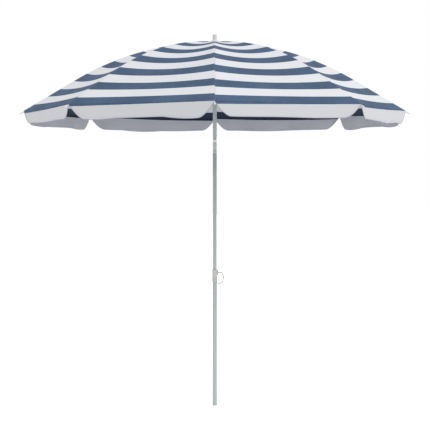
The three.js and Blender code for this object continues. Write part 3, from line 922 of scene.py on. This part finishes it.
def rib_piece():
    """Rod of a rib: it rises from its eye to the cloth and follows it out to the tip."""
    first = length_at(200 * MM)
    last = length_at(TIP - 6 * MM)
    points = millimetres((21, 0.1), (50, 3.8), (80, 6.3), (140, 6.2), above=PIVOT.z)
    points += [rib_line(first + (last - first) * step / 10, ROD_BELOW)[:2] for step in range(11)]
    return merge(tube_along(smooth_route(points, 6), ROD_R, 20), eye(PIVOT.x, PIVOT.z))


def rib_cap():
    """Moulded cap on the end of a rib, with a collar at its mouth."""
    cap = turned(millimetres((2.5, -16), (3.1, -16), (3.3, -15.4), (3.3, -13.4), (2.9, -12.6), (2.9, -3),
                             (2.7, -1.5), (1.9, -0.2), (0, 0.4), (0, -5), (2.5, -5)), 32)
    rho, z, _ = rib_line(length_at(TIP), ROD_BELOW)
    bmesh.ops.rotate(cap, matrix=Matrix.Rotation(math.pi / 2 + SLOPE, 3, "Y"), verts=cap.verts)
    bmesh.ops.translate(cap, vec=(rho, 0, z), verts=cap.verts)
    return cap


def rib_bracket():
    """Folded steel bracket on a rib with the cross pin that carries the strut."""
    _, z, slope = rib_line(length_at(BRACKET.x), ROD_BELOW)
    drop = (z - BRACKET.z) * math.cos(slope)
    made = block((-6 * MM, 6 * MM), (-3 * MM, 3 * MM), (-ROD_R - 2 * MM, -ROD_R - 0.7 * MM), 0.3 * MM)
    for side in (1, -1):
        y = sorted((side * 2.6 * MM, side * 3.8 * MM))
        merge(made, block((-6 * MM, 6 * MM), y, (-drop - 3.5 * MM, 1 * MM), 0.5 * MM))
    merge(made, bar_across(0, -drop, 1 * MM, 7 * MM, 24, 0.2 * MM))
    bmesh.ops.rotate(made, matrix=Matrix.Rotation(slope, 3, "Y"), verts=made.verts)
    bmesh.ops.translate(made, vec=(BRACKET.x + drop * math.sin(slope), 0,
                                   BRACKET.z + drop * math.cos(slope)), verts=made.verts)
    return made


def strut_piece():
    """Straight strut from the runner to a rib bracket, with an eye on each end."""
    inner, outer = Vector((PIVOT.x, 0, RUNNER_Z)), Vector((BRACKET.x, 0, BRACKET.z))
    way = (outer - inner).normalized()
    route = [inner + way * 1.5 * MM, outer - way * 1.5 * MM]
    made = merge(tube_along(route, STRUT_R, 20), eye(*inner.xz))
    return merge(made, eye(*outer.xz))


def build_frame():
    for number in range(1, RIBS + 1):
        azimuth = rib_azimuth(number)
        body = f"rib_body_{number}"
        fit(f"rib_rod_{number}", turn_to(rib_piece(), azimuth), body, RIB_ENAMEL, "rib_paint",
            f"rib_{number}")
        fit(f"rib_cap_{number}", turn_to(rib_cap(), azimuth), body, WHITE_PLASTIC, "white_plastic",
            f"rib_tip_{number}")
        fit(f"rib_clip_{number}", turn_to(rib_bracket(), azimuth), body, STEEL, "plated_steel",
            f"rib_bracket_{number}")
        fit(f"strut_rod_{number}", turn_to(strut_piece(), azimuth), f"strut_body_{number}",
            RIB_ENAMEL, "rib_paint", f"strut_{number}")


# ---- camera, floor and light ---------------------------------------------------------------
def camera():
    data = bpy.data.cameras.new("camera")
    data.lens = 142.2
    data.sensor_width = 36
    made = bpy.data.objects.new("camera", data)
    made.location = (0.001, -8.1, 1.035)
    made.rotation_euler = (math.radians(90 - 0.892), 0, 0)
    bpy.context.scene.collection.objects.link(made)
    bpy.context.scene.camera = made


def floor():
    mesh = bmesh.new()
    bmesh.ops.create_grid(mesh, x_segments=1, y_segments=1, size=60)
    data = bpy.data.meshes.new("floor")
    mesh.to_mesh(data)
    mesh.free()
    look = Look("pale_floor", (0.9, 0.9, 0.9), 0.9)
    look.set("Emission Color", (1, 1, 1, 1))
    look.set("Emission Strength", 0.35)
    data.materials.append(look.material)
    made = bpy.data.objects.new("floor", data)
    made.location.z = -0.5 * MM
    bpy.context.scene.collection.objects.link(made)


def lights():
    world = bpy.data.worlds.new("studio")
    world.use_nodes = True
    world.node_tree.nodes["Background"].inputs["Color"].default_value = (1, 1, 1, 1)
    world.node_tree.nodes["Background"].inputs["Strength"].default_value = 1.0
    bpy.context.scene.world = world
    sun = bpy.data.lights.new("key", "SUN")
    sun.energy = 1.1
    sun.angle = math.radians(25)
    key = bpy.data.objects.new("key", sun)
    key.rotation_euler = Vector((1.1, -0.4, 1.3)).to_track_quat("Z", "Y").to_euler()
    bpy.context.scene.collection.objects.link(key)
    bpy.context.scene.view_settings.view_transform = "Standard"


camera()
floor()
lights()
build_canopy()
build_mast()
build_collar()
build_tilt_joint()
build_crown()
build_runner()
build_frame()
